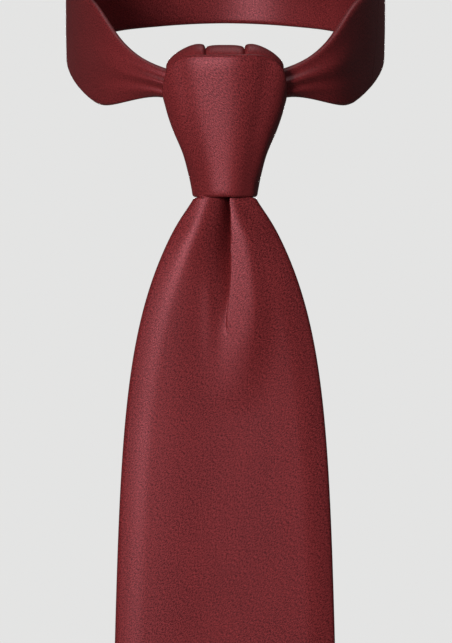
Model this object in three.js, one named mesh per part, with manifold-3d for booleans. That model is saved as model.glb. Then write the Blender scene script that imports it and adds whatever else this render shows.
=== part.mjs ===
// A tied necktie, hanging as it is worn, in millimetres.
// +Z is up and the front of the tie faces -Y. The origin is on the axis of the neck opening,
// level with the top of the knot's front face, where a collar button would sit.
// Every stretch of the tie is a folded sleeve of cloth round a strip of interlining.
import * as THREE from "three";
import { mergeVertices } from "three/addons/utils/BufferGeometryUtils.js";
import Module from "manifold-3d";

const wasm = await Module();
wasm.setup();

// ---- Driving dimensions -------------------------------------------------------------------

const GAP = 0.3; // between pieces that touch
const CLOTH = 0.7; // shell cloth
const TIPPING = 0.4; // lining cloth at the two tips
const BLADE_LINING = 1.4; // interlining in the blade and the neck
const TAIL_LINING = 1.0; // interlining in the tail
const KNOT_LINING = 0.7; // interlining squeezed inside the knot

// Knot
const KNOT_HEIGHT = 49; // top of the front face down to the mouth
const KNOT_MOUTH_HALF = 12.4;
const KNOT_TOP_HALF = 25.3;
const KNOT_FRONT_TOP = 2.5; // the front wrap's top edge stands this much above z = 0
const KNOT_BACK_TOP = -3.5;
const KNOT_SIDE_TOP = -15; // the wraps' top edges drop to this at the sides, where the arms come in
const KNOT_ROOM = 2.3; // between the strips in the mouth and the wraps, front and back
const KNOT_SQUARENESS = 3; // 2 would make the knot's plan an oval, more makes it squarer
const SHOULDER_REACH = 24; // how far the shoulder wraps come down inside
const MIDDLE_REACH = 18; // how far the middle pass comes down at the back
const TAIL_PASS_TOP = -14; // top of the tail's strip inside the knot
const SHOULDER_CREST = 8; // top of the shoulders beside the middle
const SHOULDER_SIDE = 1; // top of the shoulders at the sides
const MIDDLE_HALF = 7.5; // half width of the pass over the middle of the knot
const SADDLE_THICK = 2.2; // of the passes that go over the top of the knot
const SADDLE_BEND = 6;

// Front blade
const BLADE_LENGTH = 450; // mouth of the knot to the tip
const BLADE_HALF_ROOT = 37.2; // half width that the taper starts from
const BLADE_TAPER = 0.0205; // half width gained per mm of length
const BLADE_PINCH_REACH = 37; // how far down the gathering under the knot is felt
const BLADE_PINCH_POWER = 1.1;
const BLADE_FRONT_Y = -84.5; // the flat front face
const GATHER_LENGTH = 100; // mouth of the knot to the lift fold
const DIMPLE_DEPTH = 7;
const DIMPLE_HALF = 4.2;
const DIMPLE_FADE = 44;
const RIDGE_RISE = 3.2; // the folds beside the dimple stand in front of the flat face
const THROAT_UP = 7; // how far the blade goes up into the mouth
const THROAT_HALF = 7;
const FLARE_TOP = 2.5; // this far below the mouth the blade starts to open out
const THROAT_FLARE = 3.5; // it opens out over this depth
const SWAY_ROOM = 1.4; // above the blade's end in the throat, for its swing
const THROAT_FRONT = 2.6; // in the mouth the blade lies this much in front of its flat face
const THROAT_DIMPLE = 5.8;
const BLADE_HEM = 17; // turned edge that frames the tipping
const BLADE_TACK_UP = 96; // the bar tack's height above the tip

// Tail
const TAIL_LENGTH = 350; // mouth of the knot to the tail's tip
const TAIL_HALF_ROOT = 15.5;
const TAIL_TAPER = 0.0165;
const TAIL_HEM = 8;
const TAIL_TACK_UP = 48;
const TAIL_TRAVEL = 80; // how far the tail can be drawn up through the keeper

// Keeper loop on the back of the blade
const KEEPER_DEPTH = 250; // below the mouth, to its top edge
const KEEPER_HEIGHT = 18;
const KEEPER_SIDE_ROOM = 2.5; // beside the tail
const KEEPER_FLANGE = 6;

// Neck loop
const NECK_HALF_X = 60;
const NECK_HALF_Y = 68;
const NECK_RISE = 46; // the back of the loop stands this much above its front
const NECK_BAND_HALF = 17.5; // half of the strip's width
const ARM_END_HALF = 4.4; // half width where an arm enters the knot
const ARM_LENGTH = 78; // join of the pieces to the knot
const JOIN_SLANT = 0.8; // the joins run across the strip at a slant

// Threads and label
const THREAD = 0.6;
const SLIT_HALF = 0.6; // the turned edges meet with this much on each side of the middle
const TACK_WIDTH = 9;
const LOOP_RADIUS = 5;
const LABEL_WIDTH = 12;
const LABEL_HEIGHT = 9;

// ---- Sizes that follow --------------------------------------------------------------------

const MOUTH_Z = -KNOT_HEIGHT;
const BLADE_THICK = 2 * CLOTH + BLADE_LINING + TIPPING + 3 * GAP;
const TAIL_THICK = 2 * CLOTH + TAIL_LINING + TIPPING + 3 * GAP;
const BAND_THICK = 2 * CLOTH + BLADE_LINING + 2 * GAP;
const WRAP_CLOTH = CLOTH - 0.1;
const WRAP_THICK = 2 * WRAP_CLOTH + KNOT_LINING + 2 * GAP;
const LIFT_Z = MOUTH_Z - GATHER_LENGTH; // where the gathered part ends and the flat blade begins
const BLADE_BACK_Y = BLADE_FRONT_Y + BLADE_THICK;
const TAIL_FRONT_Y = BLADE_BACK_Y + GAP;
const TAIL_BACK_Y = TAIL_FRONT_Y + TAIL_THICK;

// In the mouth the tail's strip lies behind the dimpled blade, and the knot is wrapped round both.
const THROAT_FRONT_Y = BLADE_FRONT_Y - THROAT_FRONT;
const STRAND_MOUTH_Y = THROAT_FRONT_Y + BLADE_THICK + THROAT_DIMPLE + 2 * GAP;
const THROAT_BACK_Y = STRAND_MOUTH_Y + WRAP_THICK;
const KNOT_MID_Y = (THROAT_FRONT_Y + THROAT_BACK_Y) / 2;
const KNOT_DEPTH_HALF = (THROAT_BACK_Y - THROAT_FRONT_Y) / 2 + KNOT_ROOM + WRAP_THICK;
const KNOT_INSIDE = WRAP_THICK + GAP; // from the knot's surface to what the wraps hold

const silk = new THREE.MeshStandardMaterial({ color: 0x73272e, roughness: 0.45, metalness: 0 });
const tippingCloth = new THREE.MeshStandardMaterial({ color: 0x5a1c23, roughness: 0.5, metalness: 0 });
const wool = new THREE.MeshStandardMaterial({ color: 0xe8e0d0, roughness: 0.95, metalness: 0 });
const thread = new THREE.MeshStandardMaterial({ color: 0x8a3038, roughness: 0.7, metalness: 0 });
const labelCloth = new THREE.MeshStandardMaterial({ color: 0xf1eee6, roughness: 0.8, metalness: 0 });

const tie = new THREE.Group();

// ---- Solids -------------------------------------------------------------------------------

// A closed geometry as a manifold-3d solid, turned the right way out.
function solidOf(geometry) {
  const bare = geometry.clone();
  bare.deleteAttribute("normal");
  bare.deleteAttribute("uv");
  const merged = mergeVertices(bare, 1e-3);
  const position = merged.getAttribute("position").array;
  const corners = merged.index.array;
  const kept = [];
  for (let i = 0; i < corners.length; i += 3) {
    const [a, b, c] = [corners[i], corners[i + 1], corners[i + 2]];
    if (a !== b && b !== c && a !== c) kept.push(a, b, c);
  }
  const made = (triVerts) =>
    new wasm.Manifold(
      new wasm.Mesh({ numProp: 3, vertProperties: position, triVerts: new Uint32Array(triVerts) }),
    );
  const solid = made(kept);
  if (solid.volume() > 0) return solid;
  const turned = [];
  for (let i = 0; i < kept.length; i += 3) turned.push(kept[i], kept[i + 2], kept[i + 1]);
  return made(turned);
}

function geometryOf(solid) {
  const mesh = solid.getMesh();
  const position = new Float32Array(mesh.numVert * 3);
  for (let i = 0; i < mesh.numVert; i++) {
    position.set(mesh.vertProperties.subarray(i * mesh.numProp, i * mesh.numProp + 3), i * 3);
  }
  const geometry = new THREE.BufferGeometry();
  geometry.setAttribute("position", new THREE.BufferAttribute(position, 3));
  geometry.setIndex(new THREE.BufferAttribute(mesh.triVerts, 1));
  geometry.computeVertexNormals();
  return geometry;
}

function add(name, solid, material) {
  const mesh = new THREE.Mesh(geometryOf(solid), material);
  mesh.name = name;
  tie.add(mesh);
}

// A flat outline in X and Z, made solid from y = front to y = back.
function slab(outline, front, back) {
  const geometry = new THREE.ExtrudeGeometry(outline, { depth: back - front, bevelEnabled: false });
  geometry.rotateX(Math.PI / 2);
  geometry.translate(0, back, 0);
  return solidOf(geometry);
}

function outlineOf(points) {
  return new THREE.Shape(points.map(([x, z]) => new THREE.Vector2(x, z)));
}

function box(x0, x1, y0, y1, z0, z1) {
  const geometry = new THREE.BoxGeometry(x1 - x0, y1 - y0, z1 - z0);
  geometry.translate((x0 + x1) / 2, (y0 + y1) / 2, (z0 + z1) / 2);
  return solidOf(geometry);
}

// A block whose corners are put in place by place(i, t, v): i counts the columns across, t is 0 on
// the front face and 1 on the back face, and v runs from 0 to 1 along the strip.
function draped(columns, rows, place) {
  const geometry = new THREE.BoxGeometry(1, 1, 1, columns, 1, rows);
  const position = geometry.getAttribute("position");
  for (let k = 0; k < position.count; k++) {
    const i = Math.round((position.getX(k) + 0.5) * columns);
    const point = place(i, position.getY(k) + 0.5, position.getZ(k) + 0.5);
    position.setXYZ(k, point.x, point.y, point.z);
  }
  return solidOf(geometry);
}

const mix = THREE.MathUtils.lerp;
const smooth = THREE.MathUtils.smoothstep;

// ---- Flat pockets: the hanging part of the blade and of the tail ----------------------------

// The half width of the blade at a depth below the knot's mouth.
function bladeHalf(depth) {
  const below = Math.max(depth, 0);
  const full = BLADE_HALF_ROOT + BLADE_TAPER * below;
  const pinch = BLADE_HALF_ROOT - KNOT_MOUTH_HALF;
  return full - pinch * Math.exp(-((below / BLADE_PINCH_REACH) ** BLADE_PINCH_POWER));
}

function tailHalf(depth) {
  return TAIL_HALF_ROOT + TAIL_TAPER * depth;
}

// A strip's outline from a depth down to its pointed tip, taken in by inset all round but the top.
function pointedOutline(half, length, top, inset) {
  const tip = length - inset * Math.SQRT2;
  let shoulder = tip;
  while (shoulder > top && tip - shoulder < half(shoulder) - inset) shoulder -= 0.5;
  const stations = 8;
  const side = [];
  for (let k = 0; k <= stations; k++) {
    const depth = mix(top, shoulder, k / stations);
    side.push([half(depth) - inset, MOUTH_Z - depth]);
  }
  const mirrored = side.map(([x, z]) => [-x, z]).reverse();
  return outlineOf([...side, [0, MOUTH_Z - tip], ...mirrored]);
}

// The opening between the turned edges: a slit down to the bar tack, then a window to the hems.
function backOpening(half, length, top, hem, tackUp) {
  const tip = length - hem * Math.SQRT2;
  const corner = length - half(length) - 2;
  const side = half(corner) - hem;
  return outlineOf([
    [SLIT_HALF, MOUTH_Z - top],
    [SLIT_HALF, MOUTH_Z - length + tackUp],
    [side, MOUTH_Z - corner],
    [0, MOUTH_Z - tip],
    [-side, MOUTH_Z - corner],
    [-SLIT_HALF, MOUTH_Z - length + tackUp],
    [-SLIT_HALF, MOUTH_Z - top],
  ]);
}

// Shell, interlining and tipping of one flat pocket, whose front face is at y = front.
function pocket({ half, length, top, front, lining, hem, tackUp }) {
  const thick = 2 * CLOTH + lining + TIPPING + 3 * GAP;
  const back = front + thick;
  const over = 5; // cuts run past the open top
  const opening = backOpening(half, length, top - over, hem, tackUp);
  const shell = slab(pointedOutline(half, length, top, 0), front, back)
    .subtract(slab(pointedOutline(half, length, top - over, CLOTH), front + CLOTH, back - CLOTH))
    .subtract(slab(opening, back - CLOTH - GAP, back + GAP));
  const liningFront = front + CLOTH + GAP;
  const interlining = slab(
    pointedOutline(half, length, top, CLOTH + GAP),
    liningFront,
    liningFront + lining,
  );
  const tippingTop = length - tackUp + 6;
  const tippingFront = liningFront + lining + GAP;
  const tipping = slab(
    pointedOutline(half, length, tippingTop, CLOTH + 3 * GAP),
    tippingFront,
    tippingFront + TIPPING,
  );
  return { shell, interlining, tipping };
}

// The thread that closes the turned edges, lying between them.
function slipStitch(top, length, tackUp, back) {
  const z0 = MOUTH_Z - length + tackUp + 2;
  return box(-THREAD / 2, THREAD / 2, back - CLOTH, back - CLOTH + THREAD, z0, MOUTH_Z - top - 4);
}

function barTack(length, tackUp, back) {
  const z = MOUTH_Z - length + tackUp;
  return box(-TACK_WIDTH / 2, TACK_WIDTH / 2, back + GAP, back + GAP + THREAD, z - 1, z + 0.5);
}

// The top end of the hanging blade is rounded about the lift axis, so that it can turn there.
const LIFT_RADIUS = BLADE_THICK / 2;
const LIFT_AXIS_Y = BLADE_FRONT_Y + LIFT_RADIUS;
const LIFT_AXIS_Z = LIFT_Z - GAP - LIFT_RADIUS;

function roundedTop(solid) {
  const wide = 4 * BLADE_HALF_ROOT;
  const roller = new THREE.CylinderGeometry(LIFT_RADIUS, LIFT_RADIUS, wide, 24);
  roller.rotateZ(Math.PI / 2);
  roller.translate(0, LIFT_AXIS_Y, LIFT_AXIS_Z);
  const above = box(-wide / 2, wide / 2, LIFT_AXIS_Y - 10, LIFT_AXIS_Y + 10, LIFT_AXIS_Z, LIFT_Z + 10);
  return solid.subtract(above.subtract(solidOf(roller)));
}

function buildBlade() {
  const top = GATHER_LENGTH + GAP;
  const made = pocket({
    half: bladeHalf,
    length: BLADE_LENGTH,
    top,
    front: BLADE_FRONT_Y,
    lining: BLADE_LINING,
    hem: BLADE_HEM,
    tackUp: BLADE_TACK_UP,
  });
  add("blade_shell", roundedTop(made.shell), silk);
  add("blade_interlining", roundedTop(made.interlining), wool);
  add("blade_tipping", made.tipping, tippingCloth);
  add("blade_slip_stitch", slipStitch(top, BLADE_LENGTH, BLADE_TACK_UP, BLADE_BACK_Y), thread);
  add("blade_bar_tack", barTack(BLADE_LENGTH, BLADE_TACK_UP, BLADE_BACK_Y), thread);

  // The spare thread is left as a small loop that hangs from the bar tack.
  const loop = new THREE.TorusGeometry(LOOP_RADIUS, THREAD / 2, 6, 20);
  loop.rotateX(Math.PI / 2);
  const loopZ = MOUTH_Z - BLADE_LENGTH + BLADE_TACK_UP - LOOP_RADIUS - 2;
  loop.translate(0, BLADE_BACK_Y + GAP + THREAD / 2, loopZ);
  add("slip_stitch_loop", solidOf(loop), thread);
}

function buildTail() {
  const top = GATHER_LENGTH + TAIL_TRAVEL + 5;
  const made = pocket({
    half: tailHalf,
    length: TAIL_LENGTH,
    top,
    front: TAIL_FRONT_Y,
    lining: TAIL_LINING,
    hem: TAIL_HEM,
    tackUp: TAIL_TACK_UP,
  });
  add("tail_shell", made.shell, silk);
  add("tail_interlining", made.interlining, wool);
  add("tail_tipping", made.tipping, tippingCloth);
  add("tail_slip_stitch", slipStitch(top, TAIL_LENGTH, TAIL_TACK_UP, TAIL_BACK_Y), thread);
  add("tail_bar_tack", barTack(TAIL_LENGTH, TAIL_TACK_UP, TAIL_BACK_Y), thread);

  const labelZ = MOUTH_Z - TAIL_LENGTH + tailHalf(TAIL_LENGTH) + 2;
  const labelFront = TAIL_BACK_Y - CLOTH;
  add(
    "care_label",
    box(-LABEL_WIDTH / 2, LABEL_WIDTH / 2, labelFront, labelFront + TIPPING, labelZ, labelZ + LABEL_HEIGHT),
    labelCloth,
  );

  // Between the lift fold and the tail's top the strip is drawn up with the tail.
  const feedTop = GATHER_LENGTH + GAP + BLADE_THICK;
  const feedEnd = top - GAP;
  const feedHalf = tailHalf(feedTop);
  const feedShell = box(-feedHalf, feedHalf, TAIL_FRONT_Y, TAIL_BACK_Y, MOUTH_Z - feedEnd, MOUTH_Z - feedTop);
  const inner = CLOTH;
  const feedHollow = box(
    -feedHalf + inner,
    feedHalf - inner,
    TAIL_FRONT_Y + inner,
    TAIL_BACK_Y - inner,
    MOUTH_Z - feedEnd - 1,
    MOUTH_Z - feedTop + 1,
  );
  add("tail_feed_shell", feedShell.subtract(feedHollow), silk);
  const snug = CLOTH + GAP;
  add(
    "tail_feed_interlining",
    box(
      -feedHalf + snug,
      feedHalf - snug,
      TAIL_FRONT_Y + snug,
      TAIL_BACK_Y - snug,
      MOUTH_Z - feedEnd,
      MOUTH_Z - feedTop,
    ),
    wool,
  );
}

function buildKeeper() {
  const inside = tailHalf(TAIL_LENGTH) + KEEPER_SIDE_ROOM;
  const near = BLADE_BACK_Y + GAP;
  const far = TAIL_BACK_Y + THREAD + 2 * GAP; // the tail's bar tack passes under it
  const cloth = WRAP_CLOTH;
  const end = inside + cloth + KEEPER_FLANGE;
  // Plan view: flanges against the blade, and the bridge over the tail.
  const plan = outlineOf([
    [-end, near],
    [-inside, near],
    [-inside, far],
    [inside, far],
    [inside, near],
    [end, near],
    [end, near + cloth],
    [inside + cloth, near + cloth],
    [inside + cloth, far + cloth],
    [-inside - cloth, far + cloth],
    [-inside - cloth, near + cloth],
    [-end, near + cloth],
  ]);
  const geometry = new THREE.ExtrudeGeometry(plan, { depth: KEEPER_HEIGHT, bevelEnabled: false });
  geometry.translate(0, 0, MOUTH_Z - KEEPER_DEPTH - KEEPER_HEIGHT);
  add("keeper_loop", solidOf(geometry), silk);
  for (const [name, side] of [
    ["keeper_left_stitch", -1],
    ["keeper_right_stitch", 1],
  ]) {
    const x = side * (inside + cloth + KEEPER_FLANGE / 2);
    const y = near + cloth + GAP;
    const z = MOUTH_Z - KEEPER_DEPTH - KEEPER_HEIGHT;
    add(name, box(x - THREAD, x + THREAD, y, y + THREAD, z + 2, z + KEEPER_HEIGHT - 2), thread);
  }
}

// ---- The gathered part under the knot -------------------------------------------------------

// How far the front face stands behind the flat face: back in the dimple, forward on the ridges.
function foldDepth(x, half, depth) {
  const below = Math.max(depth, 0);
  const fade = Math.exp(-((below / DIMPLE_FADE) ** 2)) * (1 - smooth(below, 70, GATHER_LENGTH - 4));
  const dimpleHalf = DIMPLE_HALF + below * 0.06;
  const deepest = mix(THROAT_DIMPLE, DIMPLE_DEPTH, smooth(below, 2, 14));
  const dimple = deepest * Math.exp(-((x / dimpleHalf) ** 2));
  const ridge = RIDGE_RISE * smooth(below, 0, 12);
  const ridges = ridge * Math.exp(-(((Math.abs(x) - half * 0.55) / (half * 0.45)) ** 2));
  const forward = THROAT_FRONT * (1 - smooth(below, 8, 85));
  return fade * (dimple - ridges) - forward;
}

// Columns across the gather: the first and last are the thickness of the cloth.
const GATHER_COLUMNS = 18;
const GATHER_ROWS = 14;
const ROW_CROWDING = 1.8; // rows lie closer together near the mouth

// A layer of the gather, from and to being its depths in the folded blade. Past its ends it runs
// on by over.
function gatherLayer({ first, last, edge, from, to, over }) {
  return draped(last - first, GATHER_ROWS, (i, t, v) => {
    const depth = mix(-THROAT_UP, GATHER_LENGTH, v ** ROW_CROWDING);
    const flare = smooth(depth, FLARE_TOP, FLARE_TOP + THROAT_FLARE);
    const half = mix(THROAT_HALF, bladeHalf(depth), flare);
    const column = first + i;
    const inner = half - edge;
    let x = mix(-inner, inner, (column - 1) / (GATHER_COLUMNS - 2));
    if (column === 0) x = -half;
    if (column === GATHER_COLUMNS) x = half;
    const y = BLADE_FRONT_Y + foldDepth(x, half, depth) + mix(from, to, t);
    const past = v === 0 ? -over : v === 1 ? over : 0;
    return new THREE.Vector3(x, y, MOUTH_Z - depth - past);
  });
}

function buildGather() {
  const all = { first: 0, last: GATHER_COLUMNS, over: 0 };
  const inside = { first: 1, last: GATHER_COLUMNS - 1 };
  const backCloth = BLADE_THICK - CLOTH;
  const middle = GATHER_COLUMNS / 2;
  const behind = { first: middle - 2, last: middle + 2, edge: CLOTH, over: 20 };
  // The turned edges meet behind, with a slit between them.
  const slitTop = MOUTH_Z - 20;
  const slit = box(-SLIT_HALF, SLIT_HALF, BLADE_FRONT_Y - 5, BLADE_BACK_Y + 10, LIFT_Z - 5, slitTop);
  const shell = gatherLayer({ ...all, edge: CLOTH, from: 0, to: BLADE_THICK })
    .subtract(gatherLayer({ ...inside, edge: CLOTH, over: 2, from: CLOTH, to: backCloth }))
    .subtract(slit.subtract(gatherLayer({ ...behind, from: -10, to: backCloth - GAP })));
  add("gather_shell", shell, silk);
  const liningFrom = CLOTH + GAP;
  const lining = { from: liningFrom, to: liningFrom + BLADE_LINING };
  add("gather_interlining", gatherLayer({ ...inside, ...lining, edge: CLOTH + GAP, over: 0 }), wool);
}

// ---- Tail strip behind the gather and inside the knot ----------------------------------------

// The y of the strip's front face: it leaves the knot behind the folds and comes to the blade's back.
function strandFrontY(depth) {
  const dimpled = STRAND_MOUTH_Y + (DIMPLE_DEPTH - THROAT_DIMPLE) * smooth(depth, 2, 14);
  return mix(dimpled, TAIL_FRONT_Y, smooth(depth, 14, GATHER_LENGTH - 4));
}

function strandHalf(depth) {
  return mix(THROAT_HALF, tailHalf(depth), smooth(depth, 3, 45));
}

const STRAND_ROWS = 10;

function strand(inset, over) {
  return draped(1, STRAND_ROWS, (i, t, v) => {
    const depth = mix(-THROAT_UP, GATHER_LENGTH, v);
    const thick = mix(WRAP_THICK, TAIL_THICK, smooth(depth, 6, GATHER_LENGTH - 10));
    const offset = t < 0.5 ? inset : thick - inset;
    const half = strandHalf(depth) - inset;
    const past = v === 0 ? -over : v === 1 ? over : 0;
    const z = MOUTH_Z - depth - past;
    return new THREE.Vector3(i === 0 ? -half : half, strandFrontY(depth) + offset, z);
  });
}

function buildTailUpper() {
  add("tail_upper_shell", strand(0, 0).subtract(strand(WRAP_CLOTH, 2)), silk);
  add("tail_upper_interlining", strand(WRAP_CLOTH + GAP, 0), wool);
}

// ---- Knot -----------------------------------------------------------------------------------

// The knot's half width and its half depth at a height.
function knotHalf(z) {
  return mix(KNOT_MOUTH_HALF, KNOT_TOP_HALF, (z - MOUTH_Z) / KNOT_HEIGHT);
}

// How deep the knot's rounded plan is at a share of its half width, as a share of its half depth.
function planDepth(share) {
  return Math.max(1 - Math.abs(share) ** KNOT_SQUARENESS, 0) ** (1 / KNOT_SQUARENESS);
}

function rounded(value) {
  return Math.sign(value) * Math.abs(value) ** (2 / KNOT_SQUARENESS);
}

// A band of the knot: side is -1 for the front and 1 for the back. It sweeps to both sides of the
// middle, and from and to are its depths below the knot's surface.
function band(side, sweep, top, edge, from, to) {
  const columns = 16;
  return draped(columns, 6, (i, t, v) => {
    const angle = mix(-sweep, sweep, i / columns);
    const inset = t < 0.5 ? from : to;
    const share = rounded(Math.sin(angle));
    // The top edge slopes, so what is set in by edge is set down by more.
    const high = mix(top, KNOT_SIDE_TOP, smooth(Math.abs(share), 0.6, 0.94)) - 3 * edge;
    const z = mix(MOUTH_Z + edge, high, v);
    const x = (knotHalf(z) - inset) * share;
    const y = KNOT_MID_Y + side * (KNOT_DEPTH_HALF - inset) * rounded(Math.cos(angle));
    return new THREE.Vector3(x, y, z);
  });
}

function wrapPieces(name, side, top) {
  const sweep = Math.acos((GAP / KNOT_DEPTH_HALF) ** (KNOT_SQUARENESS / 2));
  const past = sweep + 0.04;
  const hollow = band(side, past, top, WRAP_CLOTH, WRAP_CLOTH, WRAP_THICK - WRAP_CLOTH);
  const snug = WRAP_CLOTH + GAP;
  add(`knot_${name}_wrap`, band(side, sweep, top, 0, 0, WRAP_THICK).subtract(hollow), silk);
  add(`knot_${name}_interlining`, band(side, sweep, top, snug, snug, WRAP_THICK - snug), wool);
}

const SADDLE_TURN = 8; // steps round the bend

// The inside of the knot narrows towards the mouth, and what lies in it narrows with it.
function drawnIn(x, z) {
  const here = knotHalf(Math.min(z, 0)) - KNOT_INSIDE;
  return (x * here) / (knotHalf(0) - KNOT_INSIDE);
}

// A strip that goes over the top of the knot like a saddle, from the front to the back, with legs
// inside the wraps. across(q) is the x of its edge lines and crest(q) their height.
function saddle(across, crest, frontEnd, backEnd) {
  const legRows = 2;
  return draped(4, SADDLE_TURN + 2 * legRows, (i, t, v) => {
    const x = across(i / 4);
    const reach = KNOT_DEPTH_HALF - KNOT_INSIDE - t * SADDLE_THICK;
    const halfDepth = reach * planDepth(x / (knotHalf(0) - KNOT_INSIDE));
    const top = crest(i / 4) - t * SADDLE_THICK;
    const row = Math.round(v * (SADDLE_TURN + 2 * legRows)) - legRows;
    const angle = (Math.PI * THREE.MathUtils.clamp(row, 0, SADDLE_TURN)) / SADDLE_TURN;
    let z = top - SADDLE_BEND * (1 - Math.sin(angle));
    if (row < 0) z = mix(z, frontEnd, -row / legRows);
    if (row > SADDLE_TURN) z = mix(z, backEnd, (row - SADDLE_TURN) / legRows);
    return new THREE.Vector3(drawnIn(x, z), KNOT_MID_Y - halfDepth * Math.cos(angle), z);
  });
}

function buildKnot() {
  wrapPieces("front", -1, KNOT_FRONT_TOP);
  wrapPieces("back", 1, KNOT_BACK_TOP);
  const mouthEnd = MOUTH_Z + THROAT_UP + SWAY_ROOM + GAP;
  const overMiddle = (q) => mix(-MIDDLE_HALF, MIDDLE_HALF, q);
  add("knot_middle_pass", saddle(overMiddle, () => SHOULDER_CREST - 1, mouthEnd, -MIDDLE_REACH), silk);
  const inner = MIDDLE_HALF + GAP;
  const outer = KNOT_TOP_HALF - WRAP_THICK - 2;
  for (const [name, side] of [
    ["knot_left_shoulder", -1],
    ["knot_right_shoulder", 1],
  ]) {
    const across = (q) => side * mix(inner, outer, q);
    const crest = (q) => mix(SHOULDER_CREST, SHOULDER_SIDE, q * q);
    add(name, saddle(across, crest, -SHOULDER_REACH, -SHOULDER_REACH), silk);
  }
  // The tail's strip on its way through the knot, against the back leg of the middle pass.
  const passBack = KNOT_MID_Y + KNOT_DEPTH_HALF - KNOT_INSIDE - SADDLE_THICK - GAP;
  const passHalf = THROAT_HALF - 1;
  const pass = box(-passHalf, passHalf, passBack - WRAP_THICK, passBack, mouthEnd, TAIL_PASS_TOP);
  add("knot_tail_pass", pass, silk);
}

// ---- Neck loop ------------------------------------------------------------------------------

// One side of the loop's middle line, from inside the knot to the nape of the neck.
function loopSide(side) {
  const armX = KNOT_TOP_HALF - WRAP_THICK - 2;
  const armZ = KNOT_SIDE_TOP + ARM_END_HALF + 2; // the arm passes over the wraps' edge
  const points = [
    [MIDDLE_HALF + 0.5, KNOT_MID_Y - 2, armZ - 4.5],
    [armX, KNOT_MID_Y, armZ],
  ];
  // The arms run back from the knot in an easy curve, as shares of the loop's half width, of the
  // way from the knot to the middle of the neck, and of the rise.
  for (const [across, back, up] of [
    [0.67, 0.18, 0.02],
    [0.92, 0.55, 0.3],
  ]) {
    points.push([across * NECK_HALF_X, KNOT_MID_Y * (1 - back), up * NECK_RISE]);
  }
  // Round the back of the neck the loop is half an ellipse.
  for (const [degrees, up] of [
    [0, 0.6],
    [35, 0.85],
    [63, 0.96],
  ]) {
    const angle = THREE.MathUtils.degToRad(degrees);
    points.push([NECK_HALF_X * Math.cos(angle), NECK_HALF_Y * Math.sin(angle), up * NECK_RISE]);
  }
  return points.map(([x, y, z]) => new THREE.Vector3(side * x, y, z));
}

const nape = new THREE.Vector3(0, NECK_HALF_Y, NECK_RISE);
const loopPath = new THREE.CatmullRomCurve3([...loopSide(-1), nape, ...loopSide(1).reverse()]);
const LOOP_LENGTH = loopPath.getLength();

// The strip's half width at a distance along the path: it is drawn together where it enters the knot.
function loopHalf(s) {
  const fromEnd = Math.min(s, LOOP_LENGTH - s);
  return mix(ARM_END_HALF, NECK_BAND_HALF, smooth(fromEnd, 14, 55));
}

// A block of the strip from s = start to s = end. Its ends slant by slant0 and slant1.
function loopPiece(start, end, slant0, slant1, rows, inset, from, to) {
  return draped(1, rows, (i, t, v) => {
    const q = i === 0 ? -1 : 1;
    const reach = NECK_BAND_HALF * q;
    const s = mix(start + slant0 * reach, end + slant1 * reach, v);
    const share = THREE.MathUtils.clamp(s / LOOP_LENGTH, 0, 1);
    const tangent = loopPath.getTangentAt(share);
    const up = new THREE.Vector3(0, 0, 1).addScaledVector(tangent, -tangent.z).normalize();
    const outward = new THREE.Vector3().crossVectors(up, tangent).normalize();
    return loopPath
      .getPointAt(share)
      .addScaledVector(up, q * (loopHalf(s) - inset))
      .addScaledVector(outward, BAND_THICK / 2 - (t < 0.5 ? from : to));
  });
}

function loopStretch(name, start, end, slant0, slant1, rows) {
  const past = 1;
  const stretch = (s0, s1, inset) =>
    loopPiece(s0, s1, slant0, slant1, rows, inset, inset, BAND_THICK - inset);
  const shell = stretch(start, end, 0).subtract(
    loopPiece(start - past, end + past, slant0, slant1, rows, CLOTH, CLOTH, BAND_THICK - CLOTH),
  );
  add(`${name}_shell`, shell, silk);
  add(`${name}_interlining`, stretch(start, end, CLOTH + GAP), wool);
}

function buildNeckLoop() {
  const left = ARM_LENGTH;
  const right = LOOP_LENGTH - ARM_LENGTH;
  const start = 0.5;
  loopStretch("left_arm", start, left - GAP / 2, 0, JOIN_SLANT, 12);
  loopStretch("neck_band", left + GAP / 2, right - GAP / 2, JOIN_SLANT, -JOIN_SLANT, 16);
  loopStretch("right_arm", right + GAP / 2, LOOP_LENGTH - start, -JOIN_SLANT, 0, 12);
  // The seam stitching lies across the inner face at each join.
  for (const [name, s, slant] of [
    ["left_join_stitching", left, JOIN_SLANT],
    ["right_join_stitching", right, -JOIN_SLANT],
  ]) {
    const inside = BAND_THICK + GAP;
    add(name, loopPiece(s - 1, s + 1, slant, slant, 2, 2, inside, inside + THREAD), thread);
  }
}

buildNeckLoop();
buildKnot();
buildGather();
buildTailUpper();
buildBlade();
buildTail();
buildKeeper();

export default tie;
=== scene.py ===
"""A burgundy satin necktie, tied and hanging as it is worn.

Every piece is cloth, interlining or thread. Lengths are in millimetres and are turned to metres
where a mesh is finished. +Z is up and the front of the tie faces -Y.
"""

import bisect
import math

import bmesh
import bpy
from mathutils import Matrix, Vector


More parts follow.
